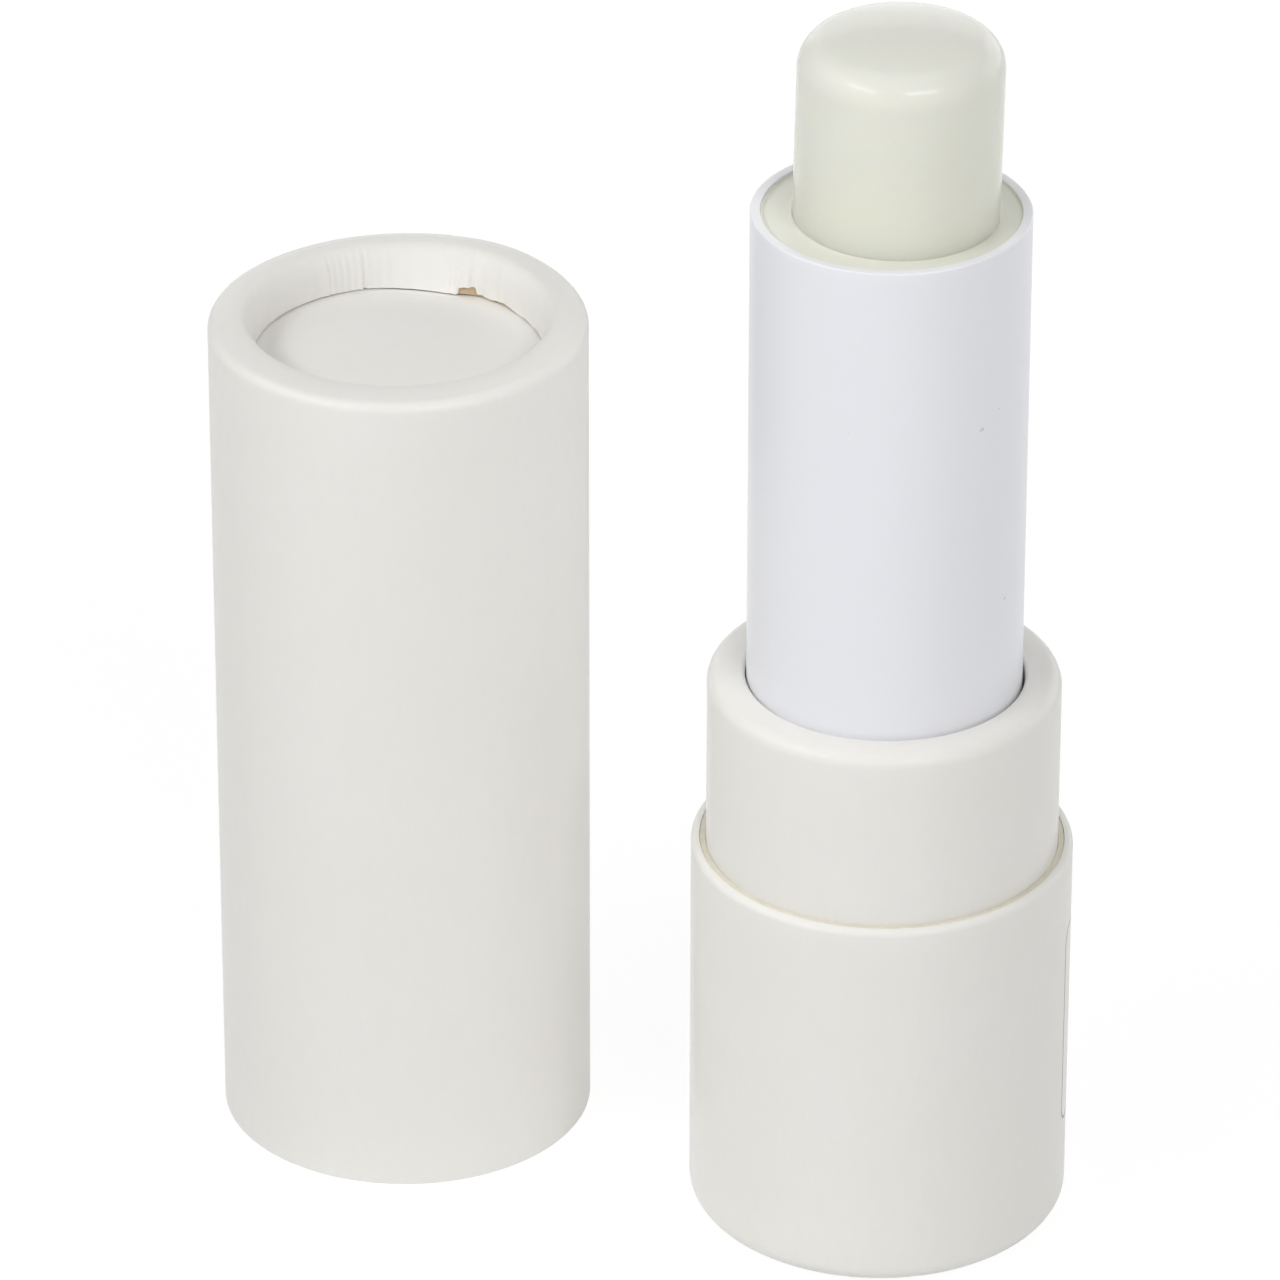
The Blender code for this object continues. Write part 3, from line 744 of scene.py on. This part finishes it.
BASE_ROUND, BASE_CURL = 1.1 * MM, (0.45 * MM, 0.45 * MM)
BASE_HOLE = BASE.r - 2.2 * MM
BASE_WALL = 0.74 * MM
BASE_LEAN = 0.1 * MM
BOARD_HOLE = NECK.r - 0.03 * MM
CUT_DEPTH, CUT_RAGGED = 0.04 * MM, 0.015 * MM
TURNED_IN = (0.35 * MM, BASE.r - 0.48 * MM)
base_angles = np.unique(np.concatenate([even_angles(480), np.arange(88, 98, 0.12)]))
base_pin = Hairpin(BASE.r, BASE_HOLE, 0, -BASE.high, BASE_ROUND, BASE_CURL, turned_in=TURNED_IN)
base_folds = creases(base_angles, random_creases(11, 40, 0, 360))[:, None] * base_pin.lip_share**0.5
base_under = lap_seam(base_angles, 95.0, SEAM_STEP, 7.0)
base_uneven = ripple(base_angles, 4, 7, 0.01 * MM)[:, None] - 0.02 * MM
base_line = shaped(base_pin, base_folds + base_under + base_uneven, BASE_LEAN, LIP_LIFT)
base_loop = flipped(sheet_loop(base_line, WRAP))
base_paper = cover_paper("base_paper", BASE, printed_frame)
base_mesh = mesh_of("base_cover", sweep(BASE, base_angles, base_loop))
show("base_cover", base_mesh, base_paper, "base", "base_wrap")

base_board_line = shaped(base_pin, base_under + base_uneven, BASE_LEAN, LIP_LIFT)
base_front = base_board_line - normals(base_board_line) * (WRAP + GLUE)
ragged = ripple(base_angles * 17, 6, 9, CUT_RAGGED) + ripple(base_angles * 5, 9, 5, CUT_RAGGED)
cut = chain(
    straight(TURNED_IN[1] - 0.01 * MM, WRAP, TURNED_IN[1] - 0.03 * MM, CUT_DEPTH, 3),
    straight(TURNED_IN[1] - 0.03 * MM, CUT_DEPTH, BOARD_HOLE + 0.04 * MM, CUT_DEPTH, 4),
)
cut_edge = np.broadcast_to(cut, (len(base_angles), *cut.shape)).copy()
cut_edge[..., 1] += np.abs(ragged)[:, None] - BASE.high
base_board_section = board_section(
    np.concatenate([base_front, cut_edge], 1),
    BOARD_HOLE,
    -BASE_WALL - CROWN,
    BASE_HOLE + BASE_WALL,
    -CURL_DEPTH + LIP_LIFT,
    lambda height: 0 * height,
)
ivory_board = board("ivory_board", BASE, IVORY, IVORY_DARK)
base_board_mesh = mesh_of("base_board", sweep(BASE, base_angles, flipped(base_board_section)))
show("base_board", base_board_mesh, ivory_board, "base", "base_tube")

# %% [markdown]
# The neck's rim rolls in until it nearly meets the barrel, and only a dark hair of a gap is left
# between them. At the left its paper laps, and there the rim stands a little proud and ends in a small
# step below.

# %% The neck's paper

NECK_ROUND, NECK_CURL = 0.8 * MM, (0.3 * MM, 0.3 * MM)
NECK_HOLE_LEFT, NECK_HOLE = BARREL.r + 0.03 * MM, BARREL.r + 0.12 * MM
PROUD_MIDDLE, PROUD_SPREAD, PROUD = 196.0, 22.0, 0.07 * MM
# Depth of the small step under the rim, its height and how far the waist reaches down, in millimetres
STEP_AT, STEP_SOFT, WAIST_REACH = 1.35, 0.12, 2.5
neck_angles = np.unique(np.concatenate([even_angles(480), np.arange(176, 186, 0.12)]))
neck_left = Hairpin(NECK.r, NECK_HOLE_LEFT, NECK.high, NECK.low, NECK_ROUND, NECK_CURL, 0.04 * MM)
neck_right = Hairpin(NECK.r, NECK_HOLE, NECK.high, NECK.low, NECK_ROUND, NECK_CURL, 0.04 * MM)
neck_pin = neck_left.toward(neck_right, (1 + np.cos(np.radians(neck_angles))) / 2)
neck_folds = creases(neck_angles, random_creases(17, 30, 0, 360))[:, None] * neck_pin.lip_share**0.5
neck_under = lap_seam(neck_angles, 184.0, SEAM_STEP, 8.0)
drop = (NECK.high - neck_pin.line[..., 1]) / MM
outside = neck_pin.line[..., 0] > NECK_HOLE + NECK_CURL[0]
below_rim = 1 / (1 + np.exp(-(drop - STEP_AT) / STEP_SOFT)) * outside
waist = np.exp(-((angle_from(neck_angles, PROUD_MIDDLE) / PROUD_SPREAD) ** 2))[:, None] * below_rim
fading = np.exp(-np.clip(drop - STEP_AT, 0, None) / WAIST_REACH)
neck_uneven = ripple(neck_angles, 14, 6, 0.01 * MM)[:, None] - 0.02 * MM
neck_line = shaped(neck_pin, neck_folds + neck_under - PROUD * waist * fading + neck_uneven)
neck_mesh = mesh_of("neck_cover", sweep(NECK, neck_angles, sheet_loop(neck_line, WRAP)))
show("neck_cover", neck_mesh, cover_paper("neck_paper", NECK), "base", "neck_wrap")

# %% [markdown]
# The barrel is moulded in white plastic with a cool, slightly violet cast. It is smoother than the
# paper and a little see-through at its thin rim. What keeps such a part from looking like a drawing is
# its faint unevenness: broad sink marks that bend the shine, a fine grain, and a few specks of dust.

# %% The barrel

BARREL_ROUND = 0.08 * MM
PLASTIC = (0.865, 0.872, 0.912, 1)
PLASTIC_SHADE = (0.845, 0.852, 0.894, 1)
SPECK = (0.55, 0.55, 0.57, 1)


def moulded_plastic(name, tube, colour, shade, roughness, glow, glow_depth=0.4 * MM):
    """Moulded plastic: broad clouds of shade, rare specks, and two sizes of relief."""
    finish = Finish(name, tube)
    sinks = finish.noise(6 * MM, detail=1, stretch=(1, 1, 0.3))
    grain = finish.noise(0.16 * MM, detail=2)
    dust = finish.ramp(finish.noise(0.45 * MM, detail=0), (0.885, 0), (0.9, 0.6))
    tinted = finish.mix(finish.mix(sinks, (0, 0, 0, 1), (0.6, 0.6, 0.6, 1)), colour, shade)
    return finish.set(
        Base_Color=finish.mix(dust, tinted, SPECK),
        Roughness=roughness + (grain - 0.5) * 0.1,
        Normal=finish.bump(sinks * 0.9 + grain * 0.1, 0.03 * MM, 0.5),
        IOR=1.49,
        Specular_IOR_Level=0.5,
        Subsurface_Weight=glow,
        Subsurface_Radius=(1.0, 1.0, 1.0),
        Subsurface_Scale=glow_depth,
    )


soft = BARREL_ROUND
bore = SLEEVE.r - 0.01 * MM
barrel_section = chain(
    straight(bore, BARREL.low + soft / 2, bore, BARREL.high - soft, 50),
    arc(bore + soft / 2, BARREL.high - soft / 2, soft / 2, 180, 90, 6),
    arc(BARREL.r - soft, BARREL.high - soft, soft, 90, 0, 8),
    straight(BARREL.r, BARREL.high - soft, BARREL.r, BARREL.low + soft, 60),
    arc(BARREL.r - soft / 2, BARREL.low + soft / 2, soft / 2, 0, -90, 5),
    arc(bore + soft / 2, BARREL.low + soft / 2, soft / 2, -90, -180, 5)[:-1],
)
barrel_mesh = mesh_of("barrel_tube", sweep(BARREL, even_angles(360), barrel_section))
barrel_finish = moulded_plastic("barrel_plastic", BARREL, PLASTIC, PLASTIC_SHADE, 0.3, 0.15)
show("barrel_tube", barrel_mesh, barrel_finish, "barrel", "barrel_shell")

# %% [markdown]
# Inside the barrel sits the spiral sleeve, whose top is the flat ring round the balm. Below the ring
# two slots wind up through its wall, and they drive the balm. A thin lip inside the ring wipes the
# balm, and a bead of wax has gathered on it, so that no dark gap is left. A grid can follow a spiral
# by being sheared: each row is turned a little further than the one below, by one turn for each lead
# of height. In that sheared grid a spiral slot is simply a few columns left out.

# %% The spiral sleeve

LEAD = 11 * MM
SLEEVE_WALL = 0.48 * MM
RING_HOLE, FILLET = 5.64 * MM, 0.17 * MM
RING_THICK = 0.8 * MM
WIPER_HOLE, BEAD = 5.16 * MM, 0.16 * MM
CUP_FLOOR, PIN_ABOVE_CUP = 0.82 * MM, 1.4 * MM
TRAVEL_DOWN, TRAVEL_UP, PIN_ROOM = 11.44 * MM, 15.63 * MM, 0.6 * MM
PIN_HEIGHT_AT_REST = BALM.low - CUP_FLOOR + PIN_ABOVE_CUP
SLOT_HALF = 0.654 * MM
SLOT_LOW = PIN_HEIGHT_AT_REST - TRAVEL_DOWN - PIN_ROOM
SLOT_HIGH = PIN_HEIGHT_AT_REST + TRAVEL_UP + PIN_ROOM
NATURAL, NATURAL_SHADE = (0.79, 0.79, 0.715, 1), (0.77, 0.775, 0.69, 1)


def sleeve_mesh(name):
    """The sleeve's outer surface, over the ring and down into its hole, with two spiral slots."""
    wall = chain(
        straight(SLEEVE.r, SLEEVE.low, SLEEVE.r, SLOT_LOW, 10),
        straight(SLEEVE.r, SLOT_LOW, SLEEVE.r, SLOT_HIGH, 150),
        straight(SLEEVE.r, SLOT_HIGH, SLEEVE.r, SLEEVE.high + FILLET, 5),
    )
    ring = chain(
        arc(SLEEVE.r - FILLET, SLEEVE.high + FILLET, FILLET, 0, -90, 7),
        straight(SLEEVE.r - FILLET, SLEEVE.high, RING_HOLE, SLEEVE.high, 6),
        arc(RING_HOLE, SLEEVE.high + BEAD, RING_HOLE - WIPER_HOLE, -90, -180, 9, BEAD),
        straight(WIPER_HOLE, SLEEVE.high + BEAD, WIPER_HOLE, SLEEVE.high - RING_THICK, 4),
    )
    line = chain(wall, ring)[::-1]
    slot = 360 * SLOT_HALF / LEAD
    across = np.concatenate([np.linspace(-slot, slot, 9), np.linspace(slot, 180 - slot, 36)[1:-1]])
    angles = np.sort(np.concatenate([across % 360, (across + 180) % 360]))
    climb = (np.clip(line[:, 1], SLEEVE.low, SLOT_HIGH) - PIN_HEIGHT_AT_REST) / LEAD * 360
    turn = np.radians(angles[:, None] + climb)
    away, height = np.broadcast_arrays(line[:, 0], line[:, 1])
    grid = np.stack([SLEEVE.x + away * np.cos(turn), SLEEVE.y + away * np.sin(turn), height + 0 * turn], -1)
    columns, rows = grid.shape[:2]
    i, j = np.meshgrid(np.arange(columns), np.arange(rows - 1), indexing="ij")
    beside = (i + 1) % columns
    middle = (angles[i] + (angles[beside] - angles[i]) % 360 / 2) % 180
    level = (height[j] + height[j + 1]) / 2
    in_slot = (np.minimum(middle, 180 - middle) < slot) & (level > SLOT_LOW) & (level < SLOT_HIGH)
    on_wall = (away[j] > SLEEVE.r - 1e-7) & (away[j + 1] > SLEEVE.r - 1e-7)
    faces = np.stack([i * rows + j, i * rows + j + 1, beside * rows + j + 1, beside * rows + j], -1)
    mesh = bpy.data.meshes.new(name)
    mesh.from_pydata(grid.reshape(-1, 3), [], faces[~(in_slot & on_wall)].tolist())
    shape = bmesh.new()
    shape.from_mesh(mesh)
    loose = [vertex for vertex in shape.verts if not vertex.link_faces]
    bmesh.ops.delete(shape, geom=loose, context="VERTS")
    shape.to_mesh(mesh)
    shape.free()
    return mesh


ring_finish = moulded_plastic("sleeve_plastic", SLEEVE, NATURAL, NATURAL_SHADE, 0.4, 0.15, 0.3 * MM)
sleeve_grid = sleeve_mesh("balm_sleeve")
sleeve_piece = show("balm_sleeve", sleeve_grid, ring_finish, "barrel", "spiral_sleeve")
thicken = sleeve_piece.modifiers.new("wall", "SOLIDIFY")
thicken.thickness = SLEEVE_WALL
thicken.offset = -1

# %% [markdown]
# The balm is cast wax: soft, cloudy and slightly see-through, so light enters it and comes out again
# a little greener. Its section is a shallow dome, a round shoulder and a long straight side. A used
# balm never stands quite true in its ring, and this one leans to the right by about one degree.

# %% The balm

SHOULDER = 1.8 * MM
DOME_LEAN = np.radians(75)
SEAT_RADIUS = BALM.r - 0.16 * MM
SEAT_TOP = BALM.low + 6.73 * MM
SHIFT, LEAN = 0.235 * MM, 0.0185
LEAN_FROM = -15.8 * MM
# The wax's own colour, then a greener painted shade for near the ring and a darker painted shade for the
# dome.
WAX, WAX_PAINTED_RING_SHADE, WAX_PAINTED_TOP_SHADE = (0.81, 0.815, 0.74, 1), (0.805, 0.82, 0.675, 1), (0.79, 0.793, 0.725, 1)


def balm_section():
    """From the crown down: part of a ball, a shoulder that leaves it smoothly, the side, the seat."""
    join = BALM.r - SHOULDER + SHOULDER * np.cos(DOME_LEAN)
    ball = join / np.cos(DOME_LEAN)
    shoulder = BALM.high - ball * (1 - np.sin(DOME_LEAN)) - SHOULDER * np.sin(DOME_LEAN)
    lean = np.degrees(DOME_LEAN)
    return chain(
        arc(0, BALM.high - ball, ball, 90, lean, 16),
        arc(BALM.r - SHOULDER, shoulder, SHOULDER, lean, 0, 22),
        straight(BALM.r, shoulder, BALM.r, SEAT_TOP, 70),
        straight(BALM.r, SEAT_TOP, SEAT_RADIUS, SEAT_TOP, 3),
        straight(SEAT_RADIUS, SEAT_TOP, SEAT_RADIUS, BALM.low, 8),
        straight(SEAT_RADIUS, BALM.low, 0, BALM.low, 8),
    )


def wax_finish(name, tube):
    """Cloudy wax: painted shade makes it greener towards the ring and darker on its dome; faint flow lines,
    a soft sheen.
    """
    finish = Finish(name, tube)
    clouds = finish.noise(3.5 * MM, detail=3)
    streaks = finish.noise(1.2 * MM, detail=2, stretch=(1, 1, 0.12))
    fine = finish.noise(0.2 * MM, detail=2)
    _, _, height = finish.around()
    # Painted shade: lower down, towards the ring, the wax is mixed towards a greener colour, standing in
    # for the ring's shade and for light that has gone deep through the wax.
    depth = (SLEEVE.high + 9 * MM - height) / (9 * MM)
    share = finish.ramp(depth + (clouds - 0.5) * 0.35, (0.25, 0), (1.0, 0.6))
    # Painted shade: the dome and the top of the shoulder are mixed towards a slightly darker colour.
    near_top = 1 - (BALM.high - height) / (3.2 * MM)
    painted_top_shade = finish.ramp(near_top + (clouds - 0.5) * 0.4, (0, 0), (0.45, 1))
    return finish.set(
        Base_Color=finish.mix(painted_top_shade, finish.mix(share, WAX, WAX_PAINTED_RING_SHADE), WAX_PAINTED_TOP_SHADE),
        Roughness=0.16 + (clouds - 0.5) * 0.1,
        Normal=finish.bump(streaks * 0.5 + clouds * 0.4 + fine * 0.1, 0.03 * MM, 0.5),
        IOR=1.4,
        Specular_IOR_Level=0.25,
        Subsurface_Weight=0.6,
        Subsurface_Radius=(1.0, 1.0, 0.7),
        Subsurface_Scale=3 * MM,
    )


balm_grid = sweep(BALM, even_angles(300), balm_section())
height_over_ring = np.clip(balm_grid[..., 2] - SLEEVE.high, LEAN_FROM, None)
balm_grid[..., 0] += SHIFT + LEAN * height_over_ring
balm_mesh = mesh_of("balm_stick", balm_grid, loop=False)
show("balm_stick", balm_mesh, wax_finish("balm_wax", BALM), "carrier", "balm")

# %% [markdown]
# The pieces inside are out of sight and their solids are right as they are, so they keep their meshes
# and only get finishes of their own: clear white plastic for the socket, milky plastic for the parts
# that slide, grey rubber for the ring that brakes the twist.

# %% Finishes for the pieces inside


def rubber_finish(name, tube):
    """Matt rubber: dark grey with a bloom of lighter dust and a fine pitted relief."""
    finish = Finish(name, tube)
    bloom = finish.noise(1.5 * MM, detail=3)
    pits = finish.noise(0.12 * MM, detail=2)
    return finish.set(
        Base_Color=finish.mix(bloom, (0.045, 0.045, 0.048, 1), (0.11, 0.11, 0.115, 1)),
        Roughness=0.7 + (pits - 0.5) * 0.2,
        Normal=finish.bump(pits, 0.01 * MM, 0.6),
    )


inner = {
    "neck_tube": board("neck_board", NECK, IVORY, IVORY_DARK),
    "mechanism_socket": moulded_plastic("socket_plastic", NECK, PLASTIC, PLASTIC_SHADE, 0.4, 0.1),
    "slotted_tube": moulded_plastic("tube_plastic", NECK, NATURAL, NATURAL_SHADE, 0.42, 0.3),
    "balm_cup": moulded_plastic("cup_plastic", NECK, NATURAL, NATURAL_SHADE, 0.42, 0.3),
    "friction_ring": rubber_finish("ring_rubber", NECK),
}
for node, finish in inner.items():
    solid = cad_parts[node]
    solid.data.materials.clear()
    solid.data.materials.append(finish)
print("finished inside:", ", ".join(inner))

# %% [markdown]
# The set is a pale floor under a white surround. For the camera, and for rays that a surface mirrors or
# lets through, the surround is plain white, and the floor is nearly so. Near the object a small share of
# the floor is a matt surface, which keeps the faint shadow that ties the object to the ground.

# %% Floor and surround

FLOOR_WHITE_SHARE, FLOOR_WHITE = 0.88, 1.06
FLOOR_HALF, FLOOR_LEVEL = 3, -2e-5
SHADOW_REACH = 80 * MM
DAYLIGHT = 0.02

floor_mesh = bpy.data.meshes.new("floor")
sides = ((-1, -1), (1, -1), (1, 1), (-1, 1))
floor_corners = [(x * FLOOR_HALF, y * FLOOR_HALF, FLOOR_LEVEL) for x, y in sides]
floor_mesh.from_pydata(floor_corners, [], [(0, 1, 2, 3)])
floor = bpy.data.objects.new("floor", floor_mesh)
bpy.context.scene.collection.objects.link(floor)
floor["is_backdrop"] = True


def seen_directly(finish):
    """1 for rays from the camera, and for rays that a glossy or a clear surface sends on."""
    rays = finish.node("ShaderNodeLightPath").socket.node
    kinds = ("Is Camera Ray", "Is Glossy Ray", "Is Transmission Ray")
    camera_ray, glossy, clear = (Wire(finish, rays.outputs[kind]) for kind in kinds)
    return camera_ray.maths("MAXIMUM", glossy).maths("MAXIMUM", clear)


floor_finish = Finish("floor_white")
white = floor_finish.node("ShaderNodeEmission", {}, {"Color": (1, 1, 1, 1), "Strength": FLOOR_WHITE})
_, from_middle, _ = floor_finish.around()
far = ((from_middle - SHADOW_REACH) / SHADOW_REACH).maths("MAXIMUM", 0).maths("MINIMUM", 1)
share = seen_directly(floor_finish) * (FLOOR_WHITE_SHARE + far * (1 - FLOOR_WHITE_SHARE))
matt = floor_finish.set(Base_Color=(0.85, 0.85, 0.85, 1), Roughness=0.9, Specular_IOR_Level=0.0)
both = floor_finish.node("ShaderNodeMixShader", {}, {
    0: share,
    1: Wire(floor_finish, floor_finish.shader.outputs[0]),
    2: white,
})
output = floor_finish.tree.nodes["Material Output"]
floor_finish.tree.links.new(both.socket, output.inputs["Surface"])
floor_mesh.materials.append(matt)

world = bpy.data.worlds.new("surround")
world.use_nodes = True
bpy.context.scene.world = world


class Surround(Finish):
    """The world's nodes, reached through the same methods as a material's."""

    def __init__(self, made):
        self.made, self.tree = made, made.node_tree


sky = Surround(world)
background = world.node_tree.nodes["Background"]
background.inputs["Color"].default_value = (1, 1, 1, 1)
strength = DAYLIGHT + seen_directly(sky) * (1 - DAYLIGHT)
world.node_tree.links.new(strength.socket, background.inputs["Strength"])

# %% [markdown]
# Such a picture is taken in a light tent, where light comes from nearly everywhere, but not evenly. The
# places and strengths of these eight soft boxes were found by rendering the object under one lamp at a
# time and adding the pictures up until the sum matched the photograph. The two in front, forty degrees
# up, also leave the pale streaks on every rim: at each streak the surface stands halfway between the
# directions of the camera and of the lamp.

# %% The soft boxes of the tent

LAMP_DISTANCE = 0.7
LOOK_AT = Vector((0, 0, 0.035))


def soft_box(name, azimuth, elevation, width, height, power):
    """A rectangular lamp that faces the object, azimuth degrees to the right of the camera."""
    turn, lift = np.radians(azimuth), np.radians(elevation)
    away = Vector((np.sin(turn) * np.cos(lift), -np.cos(turn) * np.cos(lift), np.sin(lift)))
    data = bpy.data.lights.new(name, "AREA")
    data.shape = "RECTANGLE"
    data.size, data.size_y = width, height
    data.energy = power
    lamp = bpy.data.objects.new(name, data)
    lamp.location = LOOK_AT + away * LAMP_DISTANCE
    lamp.rotation_euler = (-away).to_track_quat("-Z", "Y").to_euler()
    bpy.context.scene.collection.objects.link(lamp)
    return lamp


# Name, azimuth and elevation in degrees, width and height in metres, power in watts
TENT = [
    ("left_box", -50, 40, 0.36, 0.12, 1.4),
    ("right_box", 25, 40, 0.36, 0.12, 1.7),
    ("left_side", -85, 40, 0.5, 0.4, 1.17),
    ("top", 0, 90, 0.5, 0.5, 0.86),
    ("left_low", -50, 5, 0.5, 0.4, 0.36),
    ("right_low", 40, 5, 0.5, 0.4, 0.75),
    ("back_right", 130, 8, 0.7, 0.5, 1.74),
    ("back", 180, 8, 0.6, 0.5, 0.8),
]
for lamp in TENT:
    soft_box(*lamp)
print("lamps", len(TENT), "with", round(sum(lamp[-1] for lamp in TENT), 2), "watts")

# %% [markdown]
# The picture is shown without any film curve, so a colour renders as it is written. Last of all the top
# corner of the box of what shows is set against that of the solids, and how far it reaches past them is
# printed.

# %% Finish
bpy.context.scene.view_settings.view_transform = "Standard"

low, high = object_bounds()
growth = [round((b - a) / MM, 3) for a, b in zip(cad_high, high)]
print("grows past the solids by", growth, "mm at the top corner")
